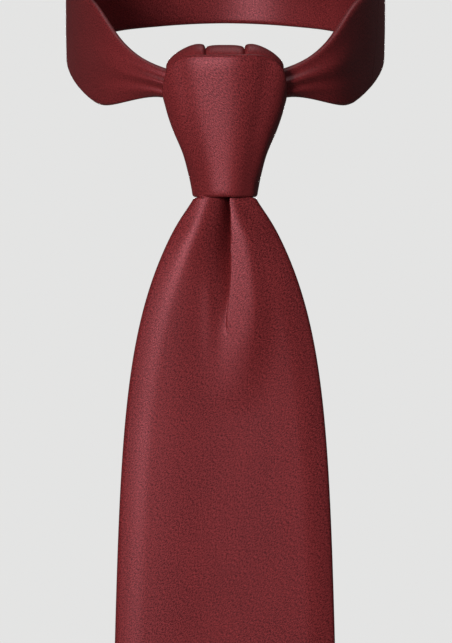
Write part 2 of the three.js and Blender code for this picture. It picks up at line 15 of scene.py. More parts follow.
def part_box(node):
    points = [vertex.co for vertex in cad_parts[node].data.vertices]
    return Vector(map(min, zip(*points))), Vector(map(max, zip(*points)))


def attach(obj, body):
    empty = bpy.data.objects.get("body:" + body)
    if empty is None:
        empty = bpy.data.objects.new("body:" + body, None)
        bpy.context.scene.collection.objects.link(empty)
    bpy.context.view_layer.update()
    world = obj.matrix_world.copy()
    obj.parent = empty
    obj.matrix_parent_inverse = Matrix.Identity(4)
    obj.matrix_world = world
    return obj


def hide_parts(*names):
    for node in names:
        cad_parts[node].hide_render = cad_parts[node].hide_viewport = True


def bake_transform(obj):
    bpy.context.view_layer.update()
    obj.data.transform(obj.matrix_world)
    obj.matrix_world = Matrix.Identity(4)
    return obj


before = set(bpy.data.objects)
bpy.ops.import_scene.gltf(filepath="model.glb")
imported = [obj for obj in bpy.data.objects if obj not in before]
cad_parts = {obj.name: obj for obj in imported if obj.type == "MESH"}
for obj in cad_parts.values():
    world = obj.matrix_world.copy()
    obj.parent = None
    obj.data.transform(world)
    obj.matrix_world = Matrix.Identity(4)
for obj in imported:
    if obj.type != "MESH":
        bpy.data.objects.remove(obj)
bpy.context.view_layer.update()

MM = 0.001


def box_mm(node):
    """The lowest and highest corner of a node's box."""
    low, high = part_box(node)
    return Vector(low) / MM, Vector(high) / MM


# ---- Places that the frame gives ----------------------------------------------------------

KNOT_LOW = box_mm("knot_front_wrap")[0]
KNOT_BACK = box_mm("knot_back_wrap")[1].y
SHOULDER_TOP = box_mm("knot_left_shoulder")[1].z
BLADE_LOW, BLADE_HIGH = box_mm("blade_shell")
TAIL_LOW = box_mm("tail_shell")[0]
KEEPER_LOW, KEEPER_HIGH = box_mm("keeper_loop")
LABEL_LOW, LABEL_HIGH = box_mm("care_label")

MOUTH = KNOT_LOW.z
BLADE_LENGTH = MOUTH - BLADE_LOW.z
BLADE_FRONT = BLADE_LOW.y
TAIL_LENGTH = MOUTH - TAIL_LOW.z
TAIL_FRONT = TAIL_LOW.y
KNOT_MID = (KNOT_LOW.y + KNOT_BACK) / 2
KNOT_DEPTH = (KNOT_BACK - KNOT_LOW.y) / 2

# ---- Sizes of the visible cloth -----------------------------------------------------------

CLOTH = 0.45  # thickness of the satin
BLADE_THICK = 3.5
TAIL_THICK = 3.0
BAND_THICK = 3.0
WRAP_THICK = 2.1
SLIT = 0.015  # each turned edge stops this far from the middle of the back
BLADE_ROOT = 37.2  # half width from which the blade tapers outwards
BLADE_TAPER = (BLADE_HIGH.x - BLADE_ROOT) / (BLADE_LENGTH - BLADE_HIGH.x)
BLADE_TACK = 96  # height of the bar tack above the tip
BLADE_HEM = 16  # width of the turned edge beside the open lining
BLADE_DIP = 0.35  # how far the turned edge sinks between its fold and its end
TAIL_ROOT = 15.5
TAIL_TAPER = 0.0165
TAIL_TACK = 48
TAIL_HEM = 8
TAIL_DIP = 0.2
THROAT_UP = 12  # how far the blade's visible cloth goes up into the knot
TAIL_SPLIT = 150  # depth where the tail's lower length starts, below the bend
STITCH = 0.28  # radius of a sewing thread
STITCH_STEP = 7.0  # from one slip stitch to the next
TACK_STEP = 0.55  # from one thread of a bar tack to the next
CRISP = 1.2  # angle between two faces, in radians, past which their edge is shaded crisp
CLEAR = 60  # how far off a piece lies the point that its outer side faces


# ---- Small helpers ------------------------------------------------------------------------


def mix(a, b, t):
    """From a at t = 0 to b at t = 1."""
    return a + (b - a) * t


def smooth(t, low, high):
    """Eases from 0 at low to 1 at high."""
    t = min(max((t - low) / (high - low), 0.0), 1.0)
    return t * t * (3 - 2 * t)


def bell(x, width):
    """A soft hump of height 1 about x = 0."""
    return math.exp(-((x / width) ** 2))


def eased(stops, t):
    """A smooth curve through (place, value) stops, level outside them."""
    if t <= stops[0][0]:
        return stops[0][1]
    if t >= stops[-1][0]:
        return stops[-1][1]
    k = next(k for k in range(len(stops) - 1) if t <= stops[k + 1][0])
    before, (t0, v0) = stops[max(k - 1, 0)], stops[k]
    (t1, v1), after = stops[k + 1], stops[min(k + 2, len(stops) - 1)]
    slope0 = (v1 - before[1]) / (t1 - before[0])
    slope1 = (after[1] - v0) / (after[0] - t0)
    u, step = (t - t0) / (t1 - t0), t1 - t0
    return (
        (2 * u**3 - 3 * u**2 + 1) * v0
        + (u**3 - 2 * u**2 + u) * step * slope0
        + (3 * u**2 - 2 * u**3) * v1
        + (u**3 - u**2) * step * slope1
    )


def parts(start, end, count):
    """The places that divide the way from start to end into count equal steps."""
    return [mix(start, end, k / count) for k in range(count + 1)]


def spaced(start, end, step):
    """Places from start to end, about step apart."""
    return parts(start, end, max(2, round((end - start) / step)))


# ---- Making pieces ------------------------------------------------------------------------


def grid_cloth(columns, rows, place):
    """A sheet of quads, and its vertices by column and row.

    place(i, j) gives a corner's point and its place on the flat cloth.
    """
    bm = bmesh.new()
    bmesh.ops.create_grid(bm, x_segments=columns, y_segments=rows, size=0.5)
    flat = bm.verts.layers.float_vector.new("cloth")
    at = {}
    for v in bm.verts:
        i = round((v.co.x + 0.5) * columns)
        j = round((v.co.y + 0.5) * rows)
        point, across, along = place(i, j)
        v.co = point
        v[flat] = (across * MM, along * MM, 0)
        at[i, j] = v
    return bm, at


def face_out(bm, outside):
    """Turns an open sheet so that the face nearest the point outside looks towards it."""
    bmesh.ops.recalc_face_normals(bm, faces=bm.faces[:])
    bm.faces.ensure_lookup_table()
    nearest = min(bm.faces, key=lambda f: (f.calc_center_median() - outside).length_squared)
    if nearest.normal.dot(outside - nearest.calc_center_median()) < 0:
        bmesh.ops.reverse_faces(bm, faces=bm.faces[:])


def thicken(bm, thickness):
    """Gives an open sheet its thickness, inwards, with crisp cut edges."""
    bmesh.ops.solidify(bm, geom=bm.faces[:], thickness=thickness)
    for edge in bm.edges:
        edge.smooth = edge.calc_face_angle(0) < CRISP


def section(half, thick, face=24, roll=6, back=8):
    """A folded strip's section: (across, inward) from one turned edge round to the other."""
    radius = thick / 2
    flat = half - radius
    corners = [(-mix(SLIT, flat, k / back), thick) for k in range(back)]
    for k in range(roll):
        angle = math.pi * (1 - k / roll)
        corners.append((-flat - radius * math.sin(angle), radius * (1 - math.cos(angle))))
    corners += [(mix(-flat, flat, k / face), 0) for k in range(face + 1)]
    for k in range(1, roll + 1):
        angle = math.pi * k / roll
        corners.append((flat + radius * math.sin(angle), radius * (1 - math.cos(angle))))
    corners += [(mix(flat, SLIT, k / back), thick) for k in range(1, back + 1)]
    return corners


def folded_strip(stations, half, thick, point, outside, cut_half=None, face=24):
    """Satin folded into a flat tube, its edges meeting behind.

    point(u, s, n) places what is u across, s along and n behind the front face. cut_half is the
    half width of the cloth where the strip is gathered into less.
    """
    sections = [section(half(s), thick(s), face) for s in stations]

    def place(i, j):
        corners = sections[j]
        u, n = corners[i]
        s = stations[j]
        middle = len(corners) // 2
        low, high = sorted((i, middle))
        run = sum(math.dist(corners[k], corners[k + 1]) for k in range(low, high))
        run *= (cut_half or half(s)) / half(s) * (1 if i > middle else -1)
        return point(u, s, n), run, s

    bm, _ = grid_cloth(len(sections[0]) - 1, len(stations) - 1, place)
    face_out(bm, outside)
    thicken(bm, CLOTH)
    return bm


def strip_lining(stations, half, thick, point, outside, margin=1.5, share=(0.3, 0.7), columns=14):
    """The interlining of a folded strip: a flat length inside it, between two shares of its depth."""

    def place(i, j):
        s = stations[j]
        u = (2 * i / columns - 1) * (half(s) - margin)
        return point(u, s, thick(s) * share[0]), u, s

    bm, _ = grid_cloth(columns, len(stations) - 1, place)
    face_out(bm, outside)
    middle = stations[len(stations) // 2]
    thicken(bm, thick(middle) * (share[1] - share[0]))
    return bm


def add_stitch(bm, start, end):
    """One sewn stitch: a slim rounded bead of thread from start to end."""
    along = end - start
    turn = along.to_track_quat("Z", "Y").to_matrix().to_4x4()
    size = Matrix.Diagonal((STITCH, STITCH, along.length / 2 + STITCH, 1))
    place = Matrix.Translation((start + end) / 2) @ turn @ size
    bmesh.ops.create_uvsphere(bm, u_segments=8, v_segments=6, radius=1, matrix=place)


def stitches(name, ends):
    """A row of stitches as one piece. ends holds each stitch's two ends."""
    bm = bmesh.new()
    flat = bm.verts.layers.float_vector.new("cloth")
    for start, end in ends:
        add_stitch(bm, Vector(start), Vector(end))
    for v in bm.verts:
        v[flat] = (v.co.x * MM, v.co.z * MM, 0)
    return finished(bm, name, silk_thread)


def finished(bm, name, material):
    """The piece as an object at the origin, in metres, with smooth shading."""
    bmesh.ops.scale(bm, vec=(MM, MM, MM), verts=bm.verts[:])
    mesh = bpy.data.meshes.new(name)
    bm.to_mesh(mesh)
    bm.free()
    mesh.polygons.foreach_set("use_smooth", [True] * len(mesh.polygons))
    mesh.materials.append(material)
    piece = bpy.data.objects.new(name, mesh)
    bpy.context.scene.collection.objects.link(piece)
    return piece


# ---- Materials ----------------------------------------------------------------------------


def build_satin_weave():
    """Satin on the bias: long floats of yarn, their grain, and uneven dye. Cloth is in metres."""
    group = bpy.data.node_groups.new("satin_weave", "ShaderNodeTree")
    nodes, links = group.nodes, group.links
    group.interface.new_socket("Cloth", in_out="INPUT", socket_type="NodeSocketVector")
    bias_turn = group.interface.new_socket("Turn", in_out="INPUT", socket_type="NodeSocketFloat")
    bias_turn.default_value = math.radians(45)
    for label in ("Tone", "Yarn"):
        group.interface.new_socket(label, in_out="OUTPUT", socket_type="NodeSocketFloat")
    inside, out = nodes.new("NodeGroupInput"), nodes.new("NodeGroupOutput")
    turn = nodes.new("ShaderNodeVectorRotate")
    turn.rotation_type = "Z_AXIS"
    links.new(inside.outputs["Cloth"], turn.inputs["Vector"])
    links.new(inside.outputs["Turn"], turn.inputs["Angle"])

    def noise(source, scale_x, scale_y, detail):
        stretch = nodes.new("ShaderNodeVectorMath")
        stretch.operation = "MULTIPLY"
        stretch.inputs[1].default_value = (scale_x, scale_y, 1)
        links.new(source, stretch.inputs[0])
        texture = nodes.new("ShaderNodeTexNoise")
        texture.inputs["Scale"].default_value = 1
        texture.inputs["Detail"].default_value = detail
        links.new(stretch.outputs[0], texture.inputs["Vector"])
        return texture.outputs["Fac"]

    def share(source, amount):
        node = nodes.new("ShaderNodeMath")
        node.operation = "MULTIPLY"
        links.new(source, node.inputs[0])
        node.inputs[1].default_value = amount
        return node.outputs[0]

    def total(first, second):
        node = nodes.new("ShaderNodeMath")
        node.operation = "ADD"
        links.new(first, node.inputs[0])
        links.new(second, node.inputs[1])
        return node.outputs[0]

    straight, bias = inside.outputs["Cloth"], turn.outputs[0]
    floats = noise(bias, 1100, 3600, 1)  # long floats of the warp
    grain = noise(straight, 2500, 2500, 1)
    dye = noise(straight, 55, 30, 2)  # slow change of tone
    yarn = total(share(floats, 0.55), share(grain, 0.45))
    links.new(total(share(yarn, 0.93), share(dye, 0.07)), out.inputs["Tone"])
    links.new(yarn, out.inputs["Yarn"])
    return group


def ramp(nodes, links, source, span, low, high):
    """Maps the span of a value on to a pair of colours or numbers."""
    node = nodes.new("ShaderNodeMapRange")
    node.clamp = True
    node.inputs["From Min"].default_value = span[0]
    node.inputs["From Max"].default_value = span[1]
    links.new(source, node.inputs["Value"])
    if isinstance(low, (int, float)):
        node.inputs["To Min"].default_value = low
        node.inputs["To Max"].default_value = high
        return node.outputs["Result"]
    blend = nodes.new("ShaderNodeMix")
    blend.data_type = "RGBA"
    links.new(node.outputs["Result"], blend.inputs["Factor"])
    blend.inputs[6].default_value = (*low, 1)
    blend.inputs[7].default_value = (*high, 1)
    return blend.outputs[2]


TONE_SPAN = (0.42, 0.58)  # the weave's tones that become the dark and the light colour
YARN_SPAN = (0.3, 0.7)  # the weave's heights that become the rougher and the smoother value


def cloth_material(name, dark, light, roughness, bump_mm, sheen, specular, turn=None):
    """Woven cloth or thread. sheen is its weight, its roughness and its tint."""
    material = bpy.data.materials.new(name)
    material.use_nodes = True
    nodes, links = material.node_tree.nodes, material.node_tree.links
    shader = nodes["Principled BSDF"]
    place = nodes.new("ShaderNodeAttribute")
    place.attribute_name = "cloth"
    pattern = nodes.new("ShaderNodeGroup")
    pattern.node_tree = satin_weave
    links.new(place.outputs["Vector"], pattern.inputs["Cloth"])
    if turn is not None:
        pattern.inputs["Turn"].default_value = turn
    tone, yarn = pattern.outputs["Tone"], pattern.outputs["Yarn"]
    colour = ramp(nodes, links, tone, TONE_SPAN, dark, light)
    links.new(colour, shader.inputs["Base Color"])
    rough = ramp(nodes, links, yarn, YARN_SPAN, roughness[1], roughness[0])
    links.new(rough, shader.inputs["Roughness"])
    bump = nodes.new("ShaderNodeBump")
    bump.inputs["Strength"].default_value = 0.8
    bump.inputs["Distance"].default_value = bump_mm * MM
    links.new(yarn, bump.inputs["Height"])
    links.new(bump.outputs["Normal"], shader.inputs["Normal"])
    shader.inputs["Sheen Weight"].default_value = sheen[0]
    shader.inputs["Sheen Roughness"].default_value = sheen[1]
    shader.inputs["Sheen Tint"].default_value = (*sheen[2], 1)
    shader.inputs["Specular IOR Level"].default_value = specular
    return material


def burgundy_satin():
    material = cloth_material(
        "burgundy_satin",
        dark=(0.061, 0.0060, 0.0076),
        light=(0.250, 0.0305, 0.0335),
        roughness=(0.37, 0.50),
        bump_mm=0.085,
        sheen=(0.06, 0.35, (0.9, 0.18, 0.19)),
        specular=0.46,
    )
    shader = material.node_tree.nodes["Principled BSDF"]
    shader.inputs["Specular Tint"].default_value = (0.95, 0.34, 0.41, 1)
    return material


def tipping_lining():
    return cloth_material(
        "tipping_lining",
        dark=(0.062, 0.0065, 0.0085),
        light=(0.110, 0.0140, 0.0175),
        roughness=(0.38, 0.5),
        bump_mm=0.03,
        sheen=(0.1, 0.4, (1.0, 0.7, 0.7)),
        specular=0.5,
        turn=0.0,
    )


def wool_interlining():
    return cloth_material(
        "wool_interlining",
        dark=(0.60, 0.54, 0.44),
        light=(0.80, 0.76, 0.67),
        roughness=(0.9, 0.98),
        bump_mm=0.12,
        sheen=(0.4, 0.6, (1.0, 1.0, 1.0)),
        specular=0.2,
        turn=0.0,
    )


def twisted_silk():
    return cloth_material(
        "silk_thread",
        dark=(0.11, 0.010, 0.012),
        light=(0.23, 0.026, 0.030),
        roughness=(0.4, 0.55),
        bump_mm=0.03,
        sheen=(0.2, 0.4, (1.0, 0.7, 0.7)),
        specular=0.5,
    )


def woven_tape():
    return cloth_material(
        "label_tape",
        dark=(0.72, 0.70, 0.65),
        light=(0.86, 0.84, 0.80),
        roughness=(0.45, 0.6),
        bump_mm=0.03,
        sheen=(0.1, 0.4, (1.0, 1.0, 1.0)),
        specular=0.4,
        turn=0.0,
    )


satin_weave = build_satin_weave()
satin = burgundy_satin()
tipping_cloth = tipping_lining()
wool = wool_interlining()
silk_thread = twisted_silk()
label_tape = woven_tape()


# ---- Front blade --------------------------------------------------------------------------

# Folds below the knot, as (depth below its mouth, value): the dimple's line, its depth, the widths
# of its two flanks and the overhang of its right one, and then the crest of the ridge to its right,
# with its height and the widths of its flanks.
DIMPLE_X = [(0, 2.3), (10, 2.6), (24, 2.5), (34, 1.6), (45, 0.2), (60, -1.0)]
DIMPLE_DEEP = [(0, 7.4), (8, 8.0), (20, 7.0), (27, 4.9), (33, 2.8), (39, 1.3), (44, 0.45), (50, 0.0)]
DIMPLE_LEFT = [(0, 2.4), (10, 3.6), (22, 5.2), (30, 4.4), (38, 3.4), (54, 5.0)]
DIMPLE_RIGHT = [(0, 0.9), (20, 1.0), (30, 1.2), (40, 1.4), (47, 1.8), (56, 6.0)]
DIMPLE_LIP = [(0, 1.5), (27, 1.5), (35, 1.35), (42, 1.1), (46, 0.8), (51, 0.0)]
RIDGE_X = [(0, 4.6), (8, 5.8), (16, 7.7), (26, 9.2), (36, 10.0), (46, 9.8), (58, 8.0), (74, 5.0)]
RIDGE_HIGH = [(0, 0.8), (8, 1.5), (20, 1.9), (36, 2.2), (50, 2.0), (62, 1.2), (78, 0.0)]
RIDGE_LEFT = [(0, 3.4), (22, 6.2), (40, 8.2), (60, 9.0)]
RIDGE_RIGHT = [(0, 2.6), (22, 4.8), (44, 5.6), (60, 6.5)]
DIMPLE_COLUMN = 0.125  # the share of the half width at which a column of the mesh follows it
EDGE_BAND = 11.0  # width of the band along each edge where the front curves back
EDGE_RADIUS = 22.0
THROAT_FORWARD = 2.7  # how far the gathered cloth stands forward at the mouth
THROAT_HALF = 9.7  # half width of the cloth inside the knot
MOUTH_HALF = 12.4  # half width that the taper is pinched to at the mouth
CHEVRON_RUN = 150  # depth over which the rows turn into the chevrons of the point


def blade_half(depth):
    """Half width of the blade at a depth below the mouth."""
    below = max(depth, 0.0)
    pinch = (BLADE_ROOT - MOUTH_HALF) * math.exp(-((below / 37) ** 1.1)) + bell(below, 7)
    full = BLADE_ROOT + BLADE_TAPER * below - pinch
    return mix(THROAT_HALF, full, smooth(depth, -0.6, 0.6))


def uneven_bell(x, left, right):
    """A soft hump with its own width on each side."""
    return bell(x, left if x < 0 else right)


def tucked(x, left, right):
    """A fold that falls away gently on its left and ends in a steep wall on its right."""
    return math.exp(-((-x / left) ** 1.35)) if x < 0 else 1 - smooth(x, 0, right)


def dimple_lip(x, depth):
    """How far the cloth right of the dimple hangs over it, to the left."""
    below = max(depth, 0.0)
    off, wall = x - eased(DIMPLE_X, below), eased(DIMPLE_RIGHT, below)
    return eased(DIMPLE_LIP, below) * smooth(off, 0, wall) * bell(max(off - wall, 0), 4.0)


def blade_spread(u, depth, half):
    """Where a column of the mesh lies across the blade: close together along the dimple."""
    near = u - DIMPLE_COLUMN
    hold = 1 - smooth(depth, 50, 84)
    u -= 0.6 * hold * near * bell(near, 0.16)
    u += hold * (eased(DIMPLE_X, depth) / half - DIMPLE_COLUMN) * bell(near, 0.3)
    return u * half


def blade_fold(x, depth, inside):
    """How far the folds stand behind the flat face. inside is 0 in front and 1 on the back."""
    below = max(depth, 0.0)
    half = blade_half(depth)
    fade = bell(below, 58) * (1 - smooth(below, 84, 110))
    off = x - eased(DIMPLE_X, below)
    flanks = [max(eased(side, below), 6.0 * inside) for side in (DIMPLE_LEFT, DIMPLE_RIGHT)]
    dimple = eased(DIMPLE_DEEP, below) * tucked(off, *flanks) * (1 - 0.22 * inside)
    off = x - eased(RIDGE_X, below)
    flanks = eased(RIDGE_LEFT, below), eased(RIDGE_RIGHT, below)
    ridge = eased(RIDGE_HIGH, below) * uneven_bell(off, *flanks)
    left = (0.6 + 0.9 * fade * smooth(below, -2, 14)) * bell(x + 0.56 * half, 0.34 * half)
    right = fade * smooth(below, 0, 18) * bell(x - 0.62 * half, 0.32 * half)
    low_ridge = 0.4 * bell(below - 40, 16) * bell(x + 5.5, 2.8)
    forward = THROAT_FORWARD * (1 - smooth(below, 6, 88))
    return dimple - ridge - left - right - low_ridge - forward + 0.5 * edge_roll(x, half)


def edge_roll(x, half):
    """How far the front has curved back at x, within a band along each edge."""
    band = min(EDGE_BAND, 0.62 * half)
    return max(abs(x) - half + band, 0) ** 2 / (2 * EDGE_RADIUS)


def blade_crown(x, half):
    """The front rolls back further than the back face does."""
    return 0.5 * edge_roll(x, half)


class Pocket:
    """A folded strip with a pointed end: its outline, its thickness and its turned edges."""

    def __init__(self, half, spread, lip, length, thick, front, fold, crown, hem, dip, tack):
        self.half, self.length, self.thick = half, length, thick
        self.spread, self.lip = spread, lip
        self.front, self.fold, self.crown = front, fold, crown
        self.hem, self.dip, self.tack = hem, dip, tack

    def y(self, x, depth, inward):
        """How far back a point lies that is inward of the front face."""
        return self.front(depth) + self.fold(x, depth, inward / self.thick) + inward

    def back(self, x, depth, proud):
        """A point that stands proud of the back."""
        return Vector((x, self.y(x, depth, self.thick + proud), MOUTH - depth))


def pocket_front(shape, columns, depths):
    """Places a pocket's front, its rows turning into chevrons towards the point."""
    radius = shape.thick / 2
    tip = shape.length - radius * math.sqrt(2)
    corner = depths[-1]

    def place(i, j):
        edge = depths[j]
        half = shape.half(edge) - radius
        slope = (tip - corner - half) / half + 1  # so that the last row ends at the tip
        chevron = smooth(edge, corner - CHEVRON_RUN, corner) * slope
        x = shape.spread(2 * i / columns - 1, edge, half)
        depth = edge + chevron * (half - abs(x))
        y = shape.y(x, depth, shape.crown(x, half + radius))
        return Vector((x - shape.lip(x, depth), y, MOUTH - depth)), x, depth

    return place


def turned_end(shape, columns, depths, i, j):
    """Where the turned edge ends behind: at the seam, or at the open lining below the bar tack."""
    tack_depth = shape.length - shape.tack
    window_corner = shape.length - shape.half(shape.length) - 1
    window_side = shape.half(window_corner) - shape.hem
    window_tip = shape.length - shape.hem * math.sqrt(2)
    side = -1 if i < columns / 2 else 1
    if j == len(depths) - 1:
        share = 1 - abs(2 * i / columns - 1)
        return side * (1 - share) * window_side, mix(window_corner, window_tip, share)
    if depths[j] <= tack_depth:
        return side * SLIT, depths[j]
    share = (depths[j] - tack_depth) / (depths[-1] - tack_depth)
    return side * mix(SLIT, window_side, share), mix(tack_depth, window_corner, share)


def roll_direction(columns, rows, i, j):
    """Which way the cloth rolls over the outline, across and down."""
    side = -1 if i < columns / 2 else 1
    if j < rows:
        return Vector((side, 0))
    if i in (0, columns):
        return Vector((side, math.tan(math.radians(22.5))))
    if i == columns / 2:
        return Vector((0, 1.3))
    return Vector((side, 1)) / math.sqrt(2)


def turned_place(shape, spot, kind, t):
    """A point of the turned cloth: its place across and down, its depth inward, and its run."""
    radius = shape.thick / 2
    if kind == "roll":
        place = spot["edge"] + spot["out"] * radius * math.sin(t)
        roll = (shape.thick - spot["inward"]) / 2
        return place, spot["inward"] + roll * (1 - math.cos(t)), radius * t
    place = spot["edge"].lerp(spot["end"], t)
    run = radius * math.pi + (spot["end"] - spot["edge"]).length * t
    return place, shape.thick - shape.dip * math.sin(math.pi * t), run


def turn_edges(bm, shape, ring, roll_steps=6, back_steps=9):
    """Carries the cloth on from its outline: round the fold, and over the back to its ends."""
    flat = bm.verts.layers.float_vector["cloth"]
    steps = [("roll", math.pi * k / roll_steps) for k in range(1, roll_steps + 1)]
    steps += [("back", (k / back_steps) ** 1.3) for k in range(1, back_steps + 1)]
    for kind, t in steps:
        edges = [bm.edges.get((a["vert"], b["vert"])) for a, b in zip(ring, ring[1:])]
        made = bmesh.ops.extrude_edge_only(bm, edges=edges)["geom"]
        fresh = {e for e in made if isinstance(e, bmesh.types.BMVert)}
        for spot in ring:
            old = spot["vert"]
            new = next(e.other_vert(old) for e in old.link_edges if e.other_vert(old) in fresh)
            (x, depth), inward, run = turned_place(shape, spot, kind, t)
            new.co = Vector((x, shape.y(x, depth, inward), MOUTH - depth))
            across, along = spot["edge"] + spot["out"] * run
            new[flat] = (across * MM, along * MM, 0)
            spot["vert"] = new


def pocket_shell(shape, columns, depths):
    """The satin of a pocket: the front, rolled round the outline, and the turned edges behind.

    depths are the rows' depths at the side edges, down to where the point starts.
    """
    rows = len(depths) - 1
    place = pocket_front(shape, columns, depths)
    bm, at = grid_cloth(columns, rows, place)

    # The outline runs down the left edge, along the point, and up the right edge.
    outline = [(0, j) for j in range(rows)]
    outline += [(i, rows) for i in range(columns + 1)]
    outline += [(columns, j) for j in range(rows - 1, -1, -1)]
    ring = []
    for i, j in outline:
        _, x, depth = place(i, j)
        ring.append(
            {
                "vert": at[i, j],
                "edge": Vector((x, depth)),
                "out": roll_direction(columns, rows, i, j),
                "end": Vector(turned_end(shape, columns, depths, i, j)),
                "inward": shape.crown(x, shape.half(min(depth, depths[-1]))),
            }
        )
    turn_edges(bm, shape, ring)
    middle = depths[rows // 2]
    face_out(bm, Vector((0, shape.front(middle) - CLEAR, MOUTH - middle)))
    thicken(bm, CLOTH)
    return bm


def pocket_lining(shape, depths, margin, near, far, columns=24):
    """A flat strip inside a pocket, from near to far behind its front face."""
    length = shape.length - margin * math.sqrt(2)

    def place(i, j):
        u = 2 * i / columns - 1
        edge = depths[j]
        half = shape.half(edge) - margin
        last = depths[-1]
        chevron = smooth(edge, max(depths[0], last - 110), last) * (length - last) / half
        x = shape.spread(u, edge, half)
        depth = edge + chevron * (half - abs(x))
        inward = near + shape.crown(x, half + margin) * (1 - near / shape.thick)
        return Vector((x, shape.y(x, depth, inward), MOUTH - depth)), x, depth

    bm, _ = grid_cloth(columns, len(depths) - 1, place)
    face_out(bm, Vector((0, shape.front(depths[0]) - CLEAR, MOUTH - depths[0])))
    thicken(bm, far - near)
    return bm


blade = Pocket(
    half=blade_half,
    spread=blade_spread,
    lip=dimple_lip,
    length=BLADE_LENGTH,
    thick=BLADE_THICK,
    front=lambda depth: BLADE_FRONT,
    fold=blade_fold,
    crown=blade_crown,
    hem=BLADE_HEM,
    dip=BLADE_DIP,
    tack=BLADE_TACK,
)
BLADE_CORNER = BLADE_LENGTH - BLADE_HIGH.x - 0.6


def bent(piece):
    """Cloth that crosses the lift fold, with its placing baked into its mesh."""
    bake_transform(piece)
    return piece


def build_blade_satin():
    """The blade's cloth, with close rows at the mouth's edge and over the folds."""
    depths = spaced(-THROAT_UP, -0.8, 1.6)[:-1] + spaced(-0.8, 2.4, 0.32)[:-1]
    depths += spaced(2.4, 140, 1.7)[:-1] + spaced(140, BLADE_CORNER, 5.0)
    shell = finished(pocket_shell(blade, 112, depths), "blade_satin", satin)
    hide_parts("gather_shell", "blade_shell")
    bent(shell)


def build_blade_wool():
    depths = spaced(2.5, 110, 2.5)[:-1] + spaced(110, BLADE_CORNER - 2, 12)
    inner = pocket_lining(blade, depths, 2.8, 1.15, 2.0, columns=64)
    lining = finished(inner, "blade_wool", wool)
    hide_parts("gather_interlining", "blade_interlining")
    bent(lining)


def build_tipping():
    """The lining that shows behind the tip, with the slight waves of a thin cloth."""
    top = BLADE_LENGTH - BLADE_TACK - 8
    depths = spaced(top, BLADE_CORNER - 3, 2.0)
    bm = pocket_lining(blade, depths, 4.5, 2.52, 2.82, columns=60)
    flat = bm.verts.layers.float_vector["cloth"]
    for v in bm.verts:
        across, along = v[flat].x / MM, v[flat].y / MM
        slanting = 0.07 * math.sin(across * 0.55 + along * 0.23)
        v.co.y += slanting + 0.05 * math.sin(along * 0.71 - across * 0.3)
    piece = finished(bm, "blade_tipping_lining", tipping_cloth)
    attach(piece, "front_blade")
    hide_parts("blade_tipping")


def bar_tack(name, at, width, height):
    """A bar of close threads across the seam, with two threads laid along it."""
    ends = []
    count = round(width / TACK_STEP)
    for k in range(count):
        x = mix(-width / 2, width / 2, (k + 0.5) / count)
        lean = 0.12 * math.sin(k * 2.4)
        ends.append((at(x - 0.1, -height / 2 + lean), at(x + 0.1, height / 2 + lean)))
    for z in (-height / 3, height / 3):
        ends.append((at(-width / 2, z), at(width / 2, z + 0.1)))
    return stitches(name, ends)


def seam_stitches(name, shape, depths, reach, drops):
    """Slip stitches across a seam. drops holds how far every other stitch runs down."""
    rows = []
    for k, depth in enumerate(depths):
        end = shape.back(reach, depth + drops[k % 2], 0.05)
        rows.append((shape.back(-reach, depth, 0.05), end))
    return stitches(name, rows)


def thread_loop(name, middle, reach):
    """A loop of thread that hangs from the bar tack, its two ends side by side."""
    bm = bmesh.new()
    ring = bmesh.ops.create_circle(bm, cap_ends=True, segments=8, radius=STITCH)["verts"]
    start = middle + Vector((0, 0, reach))
    bmesh.ops.translate(bm, verts=ring, vec=start)
    bmesh.ops.spin(
        bm,
        geom=ring + bm.edges[:] + bm.faces[:],
        cent=middle,
        axis=(0, 1, 0),
        angle=math.radians(352),
        steps=48,
        use_merge=False,
    )
    bmesh.ops.recalc_face_normals(bm, faces=bm.faces[:])
    flat = bm.verts.layers.float_vector.new("cloth")
    for v in bm.verts:
        v.co.y += 0.5 * math.cos((v.co.z - middle.z) * 0.6)
        v[flat] = v.co * MM
    return finished(bm, name, silk_thread)


def build_blade_seam():
    tack = BLADE_LENGTH - BLADE_TACK
    depths = spaced(78, tack - 8, STITCH_STEP)
    slip = seam_stitches("blade_slip_stitches", blade, depths, 0.75, (0.9, 1.1))
    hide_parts("blade_slip_stitch")
    bent(slip)
    bar = bar_tack("blade_tack", lambda x, z: blade.back(x, tack + z, 0.15), 9.5, 2.2)
    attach(bar, "front_blade")
    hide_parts("blade_bar_tack")


def build_spare_loop():
    low, high = box_mm("slip_stitch_loop")
    middle = (low + high) / 2
    reach = (high.x - low.x) / 2 - STITCH
    loop = thread_loop("spare_thread_loop", Vector((middle.x, high.y, middle.z)), reach)
    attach(loop, "front_blade")
    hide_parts("slip_stitch_loop")


build_blade_satin()
build_blade_wool()
build_tipping()
build_blade_seam()
build_spare_loop()

# ---- Keeper loop --------------------------------------------------------------------------

KEEPER_THICK = 1.7
KEEPER_ROOM = 24.5  # half width of its bridge over the tail
KEEPER_END = 0.95  # thickness of its pressed ends
KEEPER_REACH = KEEPER_HIGH.x
KEEPER_MIDDLE = (KEEPER_LOW.z + KEEPER_HIGH.z) / 2
KEEPER_HALF = (KEEPER_HIGH.z - KEEPER_LOW.z) / 2


def keeper_y(x):
    """Where the keeper's inner side lies: on the blade at its ends, over the tail between them."""
    rise = 1 - smooth(abs(x), KEEPER_ROOM - 2.6, KEEPER_ROOM + 2.4)
    bow = 0.5 * (1 - (x / KEEPER_ROOM) ** 2) * rise
    near = BLADE_FRONT + BLADE_THICK + 0.15
    return mix(near, KEEPER_HIGH.y - KEEPER_THICK - 0.5, rise) + bow


def keeper_point(u, s, n):
    """On the keeper: u up, s across the blade and n in from its outer side."""
    z = KEEPER_MIDDLE + u + 0.25 * math.sin(s * 0.21)
    return Vector((s, keeper_y(s) + KEEPER_THICK - n, z))


